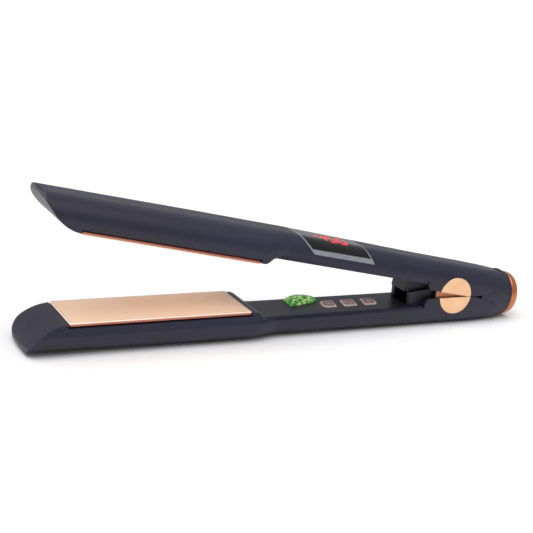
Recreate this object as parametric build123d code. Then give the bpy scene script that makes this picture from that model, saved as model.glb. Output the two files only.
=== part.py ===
from build123d import *
import os

# Hair straightener with two sprung-open arms, floating heated plates and a swivel cord outlet.
#
# Every piece of an arm is drawn in that arm's own frame, with the arms shut: the hinge pin's axis is
# the y axis, the plates' tips are at -x, and z is the depth away from the parting plane between the
# two arms.  The hub, which carries the cord outlet, is drawn on the line that halves the two arms.
# At the end each piece is placed in the object's frame: z = 0 is what the lower arm lies on, and the
# origin is straight under the hinge pin.

# ---- heated plates ----
PLATE_LENGTH = 102.8
PLATE_WIDTH = 38.1
PLATE_SLAB = 1.8            # thickness of the slab that touches the hair
PLATE_BEVEL = 0.5
SHUT_GAP = 0.3              # between the two plates with the arms shut
PLATE_TRAVEL = 0.8          # how far a floating plate can be pushed in
TRAVEL_SPARE = 0.2          # room left behind a plate that is pushed right in
HEATER_LENGTH = 70.0
HEATER_WIDTH = 18.0

# ---- arms ----
PIVOT_TO_PLATE = 134.0      # hinge pin to the near end of the plates
NOSE_LENGTH = 21.9          # housing beyond the far end of the plates
HEAD_HALF = 21.0            # half width of the housing round the plates
GRIP_HALF = 17.2            # half width of the handle
CHEEK_HALF = 16.0           # half width over the hinge
BELT_DEPTH = 7.0            # depth of the widest line, where the two housing halves meet
WALL = 2.0
OPEN_ANGLE = 11.3           # degrees between the arms at rest
SHOULDER_LENGTH = 16.0      # where the head narrows to the handle
GRIP_TO_PIVOT = 21.0        # start of the hinge cheeks

# depth of each arm at its tip, head, handle, hinge and rear; half width of its flat outer strip at the
# head, handle and hinge; level and half width of the handle's inner face
LOWER = {
    "tip": 17.2, "head": 18.6, "grip": 18.1, "hinge": 18.6, "rear": 18.6,
    "head_crown": 7.5, "grip_crown": 5.0, "hinge_crown": 5.5, "face": 5.8, "face_half": 14.2,
}
UPPER = {
    "tip": 17.5, "head": 18.1, "grip": 18.3, "hinge": 17.3, "rear": 16.9,
    "head_crown": 7.0, "grip_crown": 7.0, "hinge_crown": 5.5, "face": 4.2, "face_half": 15.0,
}

# ---- hinge and hub ----
PIN_RADIUS = 2.5
RUNNING_FIT = 0.05
CAP_RADIUS = 11.0           # half-moon trim caps over the hinge
CAP_THICK = 1.0
CAP_FLOOR = 1.1             # cheek wall left under a cap
CHEEK_GAP = 1.0             # half of the slit between the cheeks with the arms shut
STOP_GAP = 0.15             # half of the gap left between the arms at full opening
DISC_RADIUS = 12.3          # copper disc seen through the slit
DISC_THICK = 0.7
UPPER_KNUCKLE_HALF = 6.9
LOWER_LUG = (7.2, 10.1)
HUB_LUG_INNER = 10.8
KNUCKLE_RADIUS = 7.0
BARREL_RADIUS = 11.6
BARREL_BORE = 8.6
RIM_RADIUS = 13.4
HUB_DROP = 0.6              # the rear barrel sits this much below the line that halves the arms
RIM_X = 42.9                # rear face of the hub
RIM_THICK = 2.3
RING_LENGTH = 5.4
RING_REAR_RADIUS = 12.2
RING_BORE = 7.4
CORD_BORE = 3.2
SWIVEL_NECK = 6.9
SWIVEL_COLLAR = 8.1

# ---- controls ----
BUTTON_PITCH = 13.5
BUTTON_LENGTH = 8.8
BUTTON_WIDTH = 10.4
BUTTON_SKEW = 2.0           # how far a button's sides lean along the handle
BUTTON_PROUD = 0.6
BUTTON_TRAVEL = 0.5
POWER_BUTTON_X = -63.2
BUTTON_CLEAR = 0.25
LENS_HEIGHT = 4.0
DISPLAY_FRONT_X = -101.5
DISPLAY_REAR_X = -61.0
DISPLAY_EDGE_DEPTH = 10.3   # where the display's frame starts on the side of the arm
GLASS_EDGE_DEPTH = 12.9

# ---- sizes worked out from the ones above ----
HALF_OPEN = OPEN_ANGLE / 2
PLATE_REAR = -PIVOT_TO_PLATE
PLATE_FRONT = PLATE_REAR - PLATE_LENGTH
TIP_X = PLATE_FRONT - NOSE_LENGTH
PLATE_FACE = SHUT_GAP / 2
PLATE_BACK = PLATE_FACE + PLATE_SLAB
PAD_DEPTH = PLATE_FACE + 0.75                    # housing beyond the plate's ends
RIM_DEPTH = PLATE_BACK + PLATE_TRAVEL + TRAVEL_SPARE
FLOOR_BACK = RIM_DEPTH + WALL                    # back of the floor behind the plate
PAD_HALF = HEAD_HALF - 2.0
PLATE_END_GAP = 0.5
NECK_HALF = PLATE_WIDTH / 2 - 3.5
NECK_INSET = 9.0
FLOAT_CLEAR = 0.4                                # round the neck, where it passes the floor
CARRIER_FACE = FLOOR_BACK + 0.1
CARRIER_THICK = 1.4
CARRIER_BACK = CARRIER_FACE + CARRIER_THICK
CUSHION_LENGTH = 3.6
TRAY_FACE = CARRIER_BACK + CUSHION_LENGTH + PLATE_TRAVEL + TRAVEL_SPARE
TRAY_THICK = 1.5
SHOULDER_X = PLATE_REAR + 3.0
FACE_DROP = 8.0                                  # the inner face falls away over this length
HEAD_LEVEL_X = PLATE_REAR - 31.0                 # the head gets shallower from here to the tip
GRIP_X = SHOULDER_X + SHOULDER_LENGTH
CHEEK_X = -GRIP_TO_PIVOT
CAP_SEAT = CHEEK_HALF - CAP_THICK                # outer face of the cheek under a cap
POCKET_HALF = CAP_SEAT - CAP_FLOOR
DISC_OUT = POCKET_HALF - 0.3
DISC_IN = DISC_OUT - DISC_THICK
CHEEK_REAR_X = DISC_RADIUS + 0.7
WAIST_X = 28.0
WAIST_HALF = 15.4
MOUTH_X = 9.0                                    # the rear mouth between the arms starts here
HUB_FRONT_X = DISC_RADIUS + 3.2
HUB_WEB_HALF = 6.0
HUB_BACK_THICK = 3.0
PAD_CLEAR = 0.3
NOSE_LIP = 1.0
CAVITY_FLAT = 2.4                                # the roof inside is this much wider than the crown
SCREW_CORE = 1.0
SCREW_HEAD = 1.9
SCREW_HEAD_HIGH = 1.2
SCREW_BITE = 6.0                                 # length of a cover screw in its post
BOSS_RADIUS = 2.5
BOSS_BITE = 0.2                                  # how far a screw post runs into the roof's wall
COVER_SCREW_Y = 12.0
BRACKET_SCREW_HEAD_Z = UPPER["hinge"] - WALL - 4.0
LOWER_BASE_THICK = 2.4
LUG_FRONT_X = -28.5
LOWER_BASE_FRONT_X = LUG_FRONT_X - 2.0
KNUCKLE_FRONT_X = -31.0
DISPLAY_MODULE_HIGH = 3.1
DISPLAY_BOARD_TOP = UPPER["hinge"] - WALL - 5.0
DISPLAY_MIDDLE_X = (DISPLAY_FRONT_X + DISPLAY_REAR_X) / 2 - 5.0
DISPLAY_MODULE_Y = -2.5
HEATER_BACK = CARRIER_FACE - 0.3
CARRIER_HALF = NECK_HALF + 2.2
TRAY_HALF = 15.0
SPRING_HALF = 3.2
SPRING_RADIUS = 4.2
BOARD_FACE = 11.4
BOARD_THICK = 1.6
BOARD_HALF = 11.0
BOARD_FRONT_X = -104.0
BOARD_REAR_X = -40.0
BUTTON_CORNER = 0.9
BUTTON_ROUND = 3.2                               # the outer ends of minus and plus
BUTTON_CHAMFER = 0.35
BUTTON_LEDGE = 0.9                               # the flange that keeps a button in its opening
BUTTON_FLANGE = 0.7
BUTTON_STEM = 0.1
BUTTON_STEM_RADIUS = 1.6
LENS_X = -90.0
LENS_SLOPE = 38.0                                # facets lean in by this much from upright
LENS_Y = -6.6                                    # the lens sits off centre, towards the back of the object
DISPLAY_FRONT_LEAN = 1.05                        # how far the display's ends lean towards the tip
DISPLAY_REAR_LEAN = 0.75
SIDE = 60.0                                      # longer than any width, for cutting tools


# ---- helpers ----
def ease(t):
    """Smooth step from 0 to 1."""
    t = min(max(t, 0.0), 1.0)
    return t * t * (3 - 2 * t)


def mix(first, last, t):
    return first + (last - first) * t


def block(x0, x1, y0, y1, z0, z1):
    size = Box(x1 - x0, y1 - y0, z1 - z0, align=(Align.MIN, Align.MIN, Align.MIN))
    return Pos(x0, y0, z0) * size


def post(x, y, z0, z1, radius):
    """Round post along the depth axis."""
    return Pos(x, y, z0) * Cylinder(radius, z1 - z0, align=(Align.CENTER, Align.CENTER, Align.MIN))


def axle(y0, y1, radius, x=0.0):
    """Cylinder along the hinge axis."""
    turned = Rot(-90, 0, 0) * Cylinder(radius, y1 - y0, align=(Align.CENTER, Align.CENTER, Align.MIN))
    return Pos(x, y0, 0) * turned


def barrel(x0, x1, radius):
    """Cylinder along the arm."""
    turned = Rot(0, 90, 0) * Cylinder(radius, x1 - x0, align=(Align.CENTER, Align.CENTER, Align.MIN))
    return Pos(x0, 0, 0) * turned


def side_shape(edges):
    """Solid as wide as needed, with this outline in the arm's side view (x, depth)."""
    face = Plane.XZ * make_face(edges)
    return extrude(face, amount=SIDE / 2, both=True)


def side_polygon(*points):
    return side_shape(Polyline(*points, close=True).edges())


def arm_section(x, inner_half, inner_z, belt_half, belt_z, crown_half, top_z):
    """Section across an arm: flat inner face, sloping sides to the belt, elliptical dome, flat crown."""
    reach = belt_half - crown_half
    rise = top_z - belt_z
    edges = [
        Line((-inner_half, inner_z), (inner_half, inner_z)),
        Line((inner_half, inner_z), (belt_half, belt_z)),
        EllipticalCenterArc((crown_half, belt_z), reach, rise, start_angle=0, arc_size=90),
        Line((crown_half, top_z), (-crown_half, top_z)),
        EllipticalCenterArc((-crown_half, belt_z), reach, rise, start_angle=90, arc_size=90),
        Line((-belt_half, belt_z), (-inner_half, inner_z)),
    ]
    plane = Plane(origin=(x, 0, 0), x_dir=(0, 1, 0), z_dir=(1, 0, 0))
    return plane * make_face(edges)


# ---- housings ----
def along(x, points):
    """Value at x on the straight lines through (x, value) points."""
    for (x0, v0), (x1, v1) in zip(points, points[1:]):
        if x <= x1:
            return mix(v0, v1, max(x - x0, 0.0) / (x1 - x0))
    return points[-1][1]


def arm_depth(arm, x):
    """Depth of the arm's outer face."""
    return along(x, [
        (TIP_X, arm["tip"]), (HEAD_LEVEL_X, arm["head"]), (SHOULDER_X, arm["head"]),
        (GRIP_X, arm["grip"]), (CHEEK_X, arm["hinge"])])


def crown_half(arm, x):
    """Half width of the flat strip along the arm's outer face."""
    return along(x, [
        (TIP_X, arm["head_crown"]), (SHOULDER_X, arm["head_crown"]),
        (GRIP_X, arm["grip_crown"]), (CHEEK_X, arm["hinge_crown"])])


def body_stations():
    face_steps = 4
    shoulder_steps = 6
    face_end = SHOULDER_X + FACE_DROP
    stations = [TIP_X, HEAD_LEVEL_X]
    stations += [SHOULDER_X + FACE_DROP * i / face_steps for i in range(face_steps + 1)]
    stations += [mix(face_end, GRIP_X, i / shoulder_steps) for i in range(1, shoulder_steps + 1)]
    stations += [mix(GRIP_X, CHEEK_X, 0.5), CHEEK_X]
    return stations


def shoulder(x):
    """0 on the head, 1 on the handle."""
    return ease((x - SHOULDER_X) / SHOULDER_LENGTH)


def face_drop(x):
    """0 where the inner face is level with the plates' rims, 1 on the handle."""
    return ease((x - SHOULDER_X) / FACE_DROP)


def body_half(x):
    """Half width of an arm at the belt."""
    if x > GRIP_X:
        return mix(GRIP_HALF, CHEEK_HALF, min((x - GRIP_X) / (CHEEK_X - GRIP_X), 1.0))
    return mix(HEAD_HALF, GRIP_HALF, shoulder(x))


def floor_back(arm, x):
    """Depth of the back of the floor behind the inner face."""
    return mix(FLOOR_BACK, arm["face"] + WALL, face_drop(x))


def body_blank(arm):
    """Outside of the arm from its tip to the hinge cheeks."""
    return loft([
        arm_section(
            x,
            mix(PAD_HALF, arm["face_half"], face_drop(x)),
            mix(PAD_DEPTH, arm["face"], face_drop(x)),
            body_half(x),
            BELT_DEPTH,
            crown_half(arm, x),
            arm_depth(arm, x),
        )
        for x in body_stations()
    ], ruled=True)


def cavity_belt(arm):
    """Depth at which the hollow of an arm is widest."""
    return max(BELT_DEPTH, arm["face"] + WALL) + 0.3


def body_cavity(arm):
    """Hollow inside the arm, one wall in from the blank, open to the rear."""
    return loft([
        arm_section(
            x,
            body_half(x) - WALL,
            floor_back(arm, x),
            body_half(x) - WALL,
            cavity_belt(arm),
            crown_half(arm, x) + CAVITY_FLAT,
            arm_depth(arm, x) - WALL,
        )
        for x in body_stations() + [CHEEK_X + WALL]
    ], ruled=True)


def nose_curves(arm, inset):
    """Slope of the nose in the side view, and the rounding from it to the outer face, moved in by inset."""
    depth = arm["tip"]
    break_depth = depth * 0.8
    slope = Bezier(
        (PLATE_FRONT - 0.6 + inset, PAD_DEPTH + inset),
        (PLATE_FRONT - 10.2 + inset, PAD_DEPTH + 0.6 + inset),
        (TIP_X + 4.6 + inset, depth * 0.46 + inset),
        (TIP_X + 0.6 + inset, break_depth + inset),
    )
    rounding = Bezier(
        (TIP_X + 0.6 + inset, break_depth + inset),
        (TIP_X - 0.7 + inset, break_depth + 1.95 + inset),
        (TIP_X - 0.4 + inset, depth + inset),
        (TIP_X + 3.6 + inset, depth + 0.1 + inset),
    )
    return slope, rounding


def nose_waste(arm, inset=0.0):
    """All that lies outside the slope of the nose."""
    slope, rounding = nose_curves(arm, inset)
    start = slope @ 0
    end = rounding @ 1
    far = TIP_X - 20
    return side_shape([
        slope,
        rounding,
        Line((end.X, end.Y), (end.X, SIDE)),
        Line((end.X, SIDE), (far, SIDE)),
        Line((far, SIDE), (far, -20)),
        Line((far, -20), (start.X, -20)),
        Line((start.X, -20), (start.X, start.Y)),
    ])


def nose_plan(depth):
    """Rounded plan outline of the tip, carried through the depth."""
    bulge = 1.8
    corner = 8.0
    reach = HEAD_HALF + 1.0
    outline = make_face([
        ThreePointArc((TIP_X + bulge, -reach), (TIP_X, 0), (TIP_X + bulge, reach)),
        Line((TIP_X + bulge, reach), (SIDE, reach)),
        Line((SIDE, reach), (SIDE, -reach)),
        Line((SIDE, -reach), (TIP_X + bulge, -reach)),
    ])
    front = outline.vertices().sort_by(Axis.X)[:2]
    return Pos(0, 0, -5) * extrude(fillet(front, corner), amount=depth + 10)


def hinge_blank(arm):
    """Outside of the cheeks and of the rear of the arm."""
    crown = arm["hinge_crown"]
    middle = mix(arm["hinge"], arm["rear"], 0.5)
    solid = loft([
        arm_section(CHEEK_X, CHEEK_HALF, 0, CHEEK_HALF, BELT_DEPTH, crown, arm["hinge"]),
        arm_section(CHEEK_REAR_X, CHEEK_HALF, 0, CHEEK_HALF, BELT_DEPTH, crown, arm["hinge"]),
        arm_section(WAIST_X, WAIST_HALF, 0, WAIST_HALF, 5.4, 5.0, middle),
        arm_section(RIM_X, RIM_RADIUS, 0, RIM_RADIUS, 4.2, 2.5, arm["rear"] - 0.2),
    ], ruled=True)
    corner = 5.5
    front = side_shape([
        Line((CHEEK_X, 30), (CHEEK_X, corner)),
        CenterArc((CHEEK_X + corner, corner), corner, 180, 90),
        Line((CHEEK_X + corner, 0), (SIDE, 0)),
        Line((SIDE, 0), (SIDE, 30)),
        Line((SIDE, 30), (CHEEK_X, 30)),
    ])
    return solid & front


def hinge_cavity(arm):
    """Hollow between the cheeks, open towards the other arm and to the rear."""
    skin = WALL - 0.4
    half = CHEEK_HALF - WALL
    deep = arm["hinge"] - WALL
    rear = arm["rear"] - 0.2 - skin
    belt = cavity_belt(arm)
    flat = arm["hinge_crown"] + CAVITY_FLAT
    return loft([
        arm_section(CHEEK_X - 1, half, -5, half, belt, flat, deep),
        arm_section(CHEEK_REAR_X, half, -5, half, belt, flat, deep),
        arm_section(WAIST_X, WAIST_HALF - skin, -5, WAIST_HALF - skin, 5.4, 4.0, deep),
        arm_section(RIM_X + 1, RIM_RADIUS - skin, -5, RIM_RADIUS - skin, 4.2, 2.5, rear),
    ], ruled=True)


def rear_curve():
    """Rear edge of an arm in the side view, on the line that halves the arms."""
    return Bezier(
        (MOUTH_X, STOP_GAP),
        (27.0, STOP_GAP),
        (36.0, 6.5),
        (RIM_X - RIM_THICK - 0.3, 17.0),
    )


def open_side():
    """What an arm leaves open towards the other arm: the slit at the cheeks and the rear mouth."""
    curve = rear_curve()
    start = curve @ 0
    end = curve @ 1
    mouth = side_shape([
        curve,
        Line((end.X, end.Y), (end.X, 30)),
        Line((end.X, 30), (SIDE, 30)),
        Line((SIDE, 30), (SIDE, -30)),
        Line((SIDE, -30), (0, -30)),
        Line((0, -30), (start.X, start.Y)),
    ])
    turned = Rot(0, -HALF_OPEN, 0) * mouth
    return turned + block(-SIDE, MOUTH_X, -SIDE, SIDE, -30, CHEEK_GAP)


def floor_block(arm):
    """The floor under the inner face, between the side walls."""
    sections = []
    below = 10.0
    for x in body_stations()[1:]:
        plane = Plane(origin=(x, 0, -below), x_dir=(0, 1, 0), z_dir=(1, 0, 0))
        width = 2 * (body_half(x) - WALL)
        side = Rectangle(width, floor_back(arm, x) + below, align=(Align.CENTER, Align.MIN))
        sections.append(plane * side)
    inner = HEAD_HALF - WALL
    return loft(sections, ruled=True) + block(PLATE_FRONT, SHOULDER_X, -inner, inner, -below, FLOOR_BACK)


def cover_region(arm):
    """The share of the housing that is the inner cover: all up to the belt, the nose and the floor."""
    inner = HEAD_HALF - WALL
    below_belt = block(TIP_X - 20, CHEEK_X, -SIDE, SIDE, -20, BELT_DEPTH)
    nose_wall = block(TIP_X + WALL, PLATE_FRONT, -inner, inner, -5, arm["head"] - WALL)
    inner_nose = nose_waste(arm, WALL) & nose_wall
    region = below_belt + nose_waste(arm, NOSE_LIP) + floor_block(arm) + inner_nose
    return region - block(CHEEK_X, 2 * SIDE, -SIDE, SIDE, -40, 60)


def body_walls(arm):
    """Both halves of the housing in one, hollow, with the bed for the floating plate."""
    blank = (body_blank(arm) - nose_waste(arm)) & nose_plan(arm["head"])
    bed_front = PLATE_FRONT - PLATE_END_GAP
    bed_rear = PLATE_REAR + PLATE_END_GAP
    bed = block(bed_front, bed_rear, -SIDE, SIDE, -5, RIM_DEPTH)
    neck_hole = block(
        PLATE_FRONT + NECK_INSET - FLOAT_CLEAR, PLATE_REAR - NECK_INSET + FLOAT_CLEAR,
        -NECK_HALF - FLOAT_CLEAR, NECK_HALF + FLOAT_CLEAR, -5, FLOOR_BACK + 1)
    cavity = body_cavity(arm) - nose_waste(arm, WALL)
    return blank - bed - neck_hole - cavity


def cheek_walls(arm):
    """Cheeks and rear of the outer shell, with the seats of the half-moon caps."""
    pocket = axle(-POCKET_HALF, POCKET_HALF, DISC_RADIUS + 0.3)
    seats = axle(CAP_SEAT, SIDE, CAP_RADIUS) + axle(-SIDE, -CAP_SEAT, CAP_RADIUS)
    return hinge_blank(arm) - hinge_cavity(arm) - pocket - seats - open_side()


def screw_places():
    """Cover screws, under the two ends of the plate."""
    x_front = PLATE_FRONT + NECK_INSET / 2
    x_rear = PLATE_REAR - NECK_INSET / 2
    return [(x, y) for x in (x_front, x_rear) for y in (-COVER_SCREW_Y, COVER_SCREW_Y)]


def bracket_screw_places():
    return [(x, 0) for x in (-25.0, -17.0)]


def face_grooves(arm):
    """Fine groove along each edge of the handle's inner face."""
    width = 0.5
    deep = 0.5
    start = SHOULDER_X + FACE_DROP + 4.0
    grooves = Part()
    for y in (-arm["face_half"] + 0.9, arm["face_half"] - 0.9):
        grooves += block(start, CHEEK_X - 1.5, y - width / 2, y + width / 2, -5, arm["face"] + deep)
    return grooves


def housing(arm):
    """Outer shell and inner cover of an arm, split along the belt."""
    walls = body_walls(arm)
    region = cover_region(arm)
    cover = walls & region
    cover -= face_grooves(arm)
    shell = (walls - region) + cheek_walls(arm)
    for x, y in screw_places():
        shell += post(x, y, FLOOR_BACK, arm_depth(arm, x) - WALL + BOSS_BITE, BOSS_RADIUS)
        shell -= post(x, y, FLOOR_BACK - 1, FLOOR_BACK + SCREW_BITE + 0.3, SCREW_CORE)
        cover -= post(x, y, 0, FLOOR_BACK + 1, SCREW_CORE)
        cover -= post(x, y, 0, RIM_DEPTH + SCREW_HEAD_HIGH + 0.1, SCREW_HEAD + 0.15)
    for x, y in bracket_screw_places():
        shell -= post(x, y, 0, arm["hinge"] - WALL / 2, SCREW_CORE)
    return shell, cover


def cover_screws():
    """Countersunk screws that hold the inner cover to the posts of the outer shell."""
    screws = Part()
    for x, y in screw_places():
        screws += post(x, y, RIM_DEPTH + 0.1, RIM_DEPTH + SCREW_HEAD_HIGH, SCREW_HEAD)
        screws += post(x, y, RIM_DEPTH + SCREW_HEAD_HIGH, FLOOR_BACK + SCREW_BITE, SCREW_CORE)
    return screws


# ---- floating plate and its heater ----
def plate():
    """Extruded aluminium plate: bevelled slab, with two rails that carry the heater behind it."""
    half = PLATE_WIDTH / 2
    slab = block(PLATE_FRONT, PLATE_REAR, -half, half, PLATE_FACE, PLATE_BACK)
    face_edges = slab.faces().sort_by(Axis.Z)[0].edges()
    slab = chamfer(face_edges, PLATE_BEVEL)
    x0 = PLATE_FRONT + NECK_INSET
    x1 = PLATE_REAR - NECK_INSET
    rail_inner = HEATER_WIDTH / 2 + 0.2
    for y0, y1 in ((-NECK_HALF, -rail_inner), (rail_inner, NECK_HALF)):
        slab += block(x0, x1, y0, y1, PLATE_BACK, CARRIER_FACE)
    for x, y in carrier_screw_places():
        slab -= post(x, y, CARRIER_FACE - 2.5, CARRIER_FACE + 1, SCREW_CORE)
    return slab


def carrier_screw_places():
    x_out = PLATE_LENGTH / 2 - NECK_INSET - 5.0
    middle = (PLATE_FRONT + PLATE_REAR) / 2
    y = (HEATER_WIDTH / 2 + NECK_HALF) / 2
    return [(middle + sx * x_out, sy * y) for sx in (-1, 1) for sy in (-1, 1)]


def heater():
    """Flat ceramic heater in its foil wrap, clamped on the back of the plate."""
    middle = (PLATE_FRONT + PLATE_REAR) / 2
    half = HEATER_LENGTH / 2
    core = block(middle - half, middle + half, -HEATER_WIDTH / 2, HEATER_WIDTH / 2, PLATE_BACK, HEATER_BACK)
    return fillet(core.edges().filter_by(Axis.Z), 2.0)


def mica_sheet():
    middle = (PLATE_FRONT + PLATE_REAR) / 2
    half = HEATER_LENGTH / 2 + 3.0
    return block(middle - half, middle + half, -HEATER_WIDTH / 2, HEATER_WIDTH / 2, HEATER_BACK, CARRIER_FACE)


def carrier():
    """Flanged tray screwed to the plate's rails: it holds the heater and stops the plate falling out."""
    half = CARRIER_HALF
    tray = block(PLATE_FRONT + NECK_INSET, PLATE_REAR - NECK_INSET, -half, half, CARRIER_FACE, CARRIER_BACK)
    tray = fillet(tray.edges().filter_by(Axis.Z), 2.0)
    for x, y in carrier_screw_places():
        tray -= post(x, y, 0, 30, SCREW_CORE)
    return tray


def carrier_screws():
    screws = Part()
    for x, y in carrier_screw_places():
        screws += post(x, y, CARRIER_BACK, CARRIER_BACK + SCREW_HEAD_HIGH, SCREW_HEAD)
        screws += post(x, y, CARRIER_FACE - 2.0, CARRIER_BACK, SCREW_CORE)
    return screws


def cushion_places():
    x_out = PLATE_LENGTH / 2 - NECK_INSET - 13.0
    middle = (PLATE_FRONT + PLATE_REAR) / 2
    return [(middle + sx * x_out, sy * 11.0) for sx in (-1, 1) for sy in (-1, 1)]


def cushions():
    """Silicone cushions that push the plate out, drawn at the length they have with the plate in."""
    pads = Part()
    for x, y in cushion_places():
        pads += post(x, y, CARRIER_BACK, CARRIER_BACK + CUSHION_LENGTH, 3.2)
        pads -= post(x, y, CARRIER_BACK + 1.0, CARRIER_BACK + CUSHION_LENGTH + 1, 1.5)
    return pads


def cushion_tray(arm):
    """Heat-proof tray that the cushions push against, held on four legs from the outer shell's roof."""
    x0 = PLATE_FRONT + NECK_INSET + 2.0
    x1 = PLATE_REAR - NECK_INSET - 2.0
    tray = block(x0, x1, -TRAY_HALF, TRAY_HALF, TRAY_FACE, TRAY_FACE + TRAY_THICK)
    window = block(x0 + 26, x1 - 26, -7, 7, 0, 30)
    tray -= window
    leg = 2.0
    for x in (x0 + 5, x1 - 5):
        for y in (-5.0, 5.0):
            tray += post(x, y, TRAY_FACE + TRAY_THICK, arm_depth(arm, x - leg) - WALL, leg)
    return tray


def thermal_fuse():
    middle = (PLATE_FRONT + PLATE_REAR) / 2
    body = barrel(middle - 9.0, middle + 1.0, 1.5)
    leads = barrel(middle - 16.0, middle + 8.0, 0.4)
    return Pos(0, -2.5, CARRIER_BACK + 1.5) * (body + leads)


def thermistor():
    middle = (PLATE_FRONT + PLATE_REAR) / 2
    bead = Pos(middle - 4.0, 4.0, CARRIER_BACK + 1.1) * Sphere(1.1)
    lead = Pos(0, 4.0, CARRIER_BACK + 1.1) * barrel(middle - 3.5, middle + 12.0, 0.5)
    return bead + lead


# ---- controls in the lower arm (its own y axis runs towards the viewer's side of the object) ----
def button_outline(kind, grow=0.0):
    """Plan of a button: sides that lean, and one round end on the minus and plus buttons."""
    half_x = BUTTON_LENGTH / 2 + grow
    half_y = BUTTON_WIDTH / 2 + grow
    lean = BUTTON_SKEW / 2
    corners = [
        (-half_x - lean, half_y),
        (half_x - lean, half_y),
        (half_x + lean, -half_y),
        (-half_x + lean, -half_y),
    ]
    face = make_face(Polyline(*corners, close=True).edges())
    points = face.vertices().sort_by(Axis.X)
    left, right = points[:2], points[2:]
    face = fillet(left, BUTTON_ROUND if kind == "minus" else BUTTON_CORNER)
    right = [v for v in face.vertices() if any((v.center() - p.center()).length < 0.01 for p in right)]
    return fillet(right, BUTTON_ROUND if kind == "plus" else BUTTON_CORNER)


def button_solid(kind, x):
    top = LOWER["face"] - BUTTON_PROUD
    floor_under = LOWER["face"] + WALL
    cap = extrude(button_outline(kind), amount=floor_under + 0.1 - top)
    cap = chamfer(cap.faces().sort_by(Axis.Z)[0].edges(), BUTTON_CHAMFER)
    flange = Pos(0, 0, floor_under + 0.1 - top) * extrude(button_outline(kind, BUTTON_LEDGE), amount=BUTTON_FLANGE)
    base = (Align.CENTER, Align.CENTER, Align.MIN)
    flange_back = floor_under + 0.1 + BUTTON_FLANGE - top
    stem = Pos(0, 0, flange_back) * Cylinder(BUTTON_STEM_RADIUS, BUTTON_STEM, align=base)
    return Pos(x, 0, top) * (cap + flange + stem)


def button_places():
    return {
        "minus": POWER_BUTTON_X - BUTTON_PITCH,
        "power": POWER_BUTTON_X,
        "plus": POWER_BUTTON_X + BUTTON_PITCH,
    }


def lens_outline(scale=1.0):
    """Arrow-shaped plan of the green status lens."""
    points = [(-10.0, 5.6), (-10.4, -4.0), (-6.2, -6.6), (5.0, -4.6), (9.8, -1.0), (4.0, 2.6)]
    scaled = [(scale * x, scale * y) for x, y in points]
    return make_face(Polyline(*scaled, close=True).edges())


def status_lens():
    """Faceted lens: a girdle just proud of the face, then facets up to a small table."""
    face = LOWER["face"]
    girdle = 0.8
    base = Pos(0, 0, -girdle) * extrude(lens_outline(), amount=girdle)
    crown = Pos(0, 0, -girdle) * extrude(lens_outline(), amount=-(LENS_HEIGHT - girdle), taper=LENS_SLOPE)
    foot = extrude(lens_outline(0.8), amount=WALL)
    return Pos(LENS_X, LENS_Y, face) * (base + crown + foot)


def lens_hole():
    return Pos(LENS_X, LENS_Y, LOWER["face"] - 1) * extrude(lens_outline(0.8), amount=WALL + 2)


def control_board():
    board = block(BOARD_FRONT_X, BOARD_REAR_X, -BOARD_HALF, BOARD_HALF, BOARD_FACE, BOARD_FACE + BOARD_THICK)
    for x, y in board_post_places():
        board -= post(x, y, 0, 30, SCREW_CORE)
    return board


def board_post_places():
    return [(x, y) for x in (BOARD_FRONT_X + 4, BOARD_REAR_X - 4) for y in (-6.0, 6.0)]


def board_posts(arm):
    """Posts from the roof of the outer shell that carry the board; a pin on each goes through it."""
    posts = Part()
    for x, y in board_post_places():
        posts += post(x, y, BOARD_FACE + BOARD_THICK, arm_depth(arm, x) - WALL / 2, 2.4)
        posts += post(x, y, BOARD_FACE - 0.6, BOARD_FACE + BOARD_THICK, SCREW_CORE - 0.05)
    return posts


def button_switches():
    """Three tact switches on the board, each with its plunger just clear of a pressed button."""
    switches = Part()
    plunger_top = LOWER["face"] + WALL + 0.9 + BUTTON_TRAVEL + 0.1
    body_top = BOARD_FACE - 1.3
    for x in button_places().values():
        switches += block(x - 3, x + 3, -3, 3, body_top, BOARD_FACE)
        switches += post(x, 0, plunger_top, body_top, 1.5)
    return switches


def status_led():
    led = block(LENS_X - 2.5, LENS_X + 2.5, LENS_Y - 1.5, LENS_Y + 1.5, BOARD_FACE - 0.8, BOARD_FACE)
    return led


def triac():
    """Power switch lying on the back of the board, by the shoulder."""
    body = block(BOARD_FRONT_X + 10, BOARD_FRONT_X + 20, -5, 5, BOARD_FACE + BOARD_THICK, BOARD_FACE + 3.2)
    tab = block(BOARD_FRONT_X + 7, BOARD_FRONT_X + 10, -5, 5, BOARD_FACE + BOARD_THICK, BOARD_FACE + 2.2)
    return body + tab


def filter_capacitor():
    can = block(BOARD_REAR_X - 24, BOARD_REAR_X - 11, -4.5, 4.5, BOARD_FACE + BOARD_THICK, BOARD_FACE + 3.4)
    return fillet(can.edges().filter_by(Axis.Z), 1.0)


# ---- display in the upper arm ----
def display_zone(front_x, rear_x, edge_depth):
    """Leaning window in the side view, wrapped over the arm from one side to the other."""
    top = 30.0
    rise = top - DISPLAY_EDGE_DEPTH
    step = edge_depth - DISPLAY_EDGE_DEPTH
    return side_polygon(
        (front_x - step * DISPLAY_FRONT_LEAN, edge_depth), (rear_x - step * DISPLAY_REAR_LEAN, edge_depth),
        (rear_x - rise * DISPLAY_REAR_LEAN, top), (front_x - rise * DISPLAY_FRONT_LEAN, top))


def display_pieces(shell):
    """Frame and glass, cut from the wall of the outer shell so that they lie flush in it."""
    frame_zone = display_zone(DISPLAY_FRONT_X, DISPLAY_REAR_X, DISPLAY_EDGE_DEPTH)
    glass_zone = display_zone(DISPLAY_FRONT_X + 1.2, DISPLAY_REAR_X - 0.8, GLASS_EDGE_DEPTH)
    panel = shell & frame_zone
    glass = panel & glass_zone
    frame = panel - glass_zone
    return shell - frame_zone, frame, glass


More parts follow.
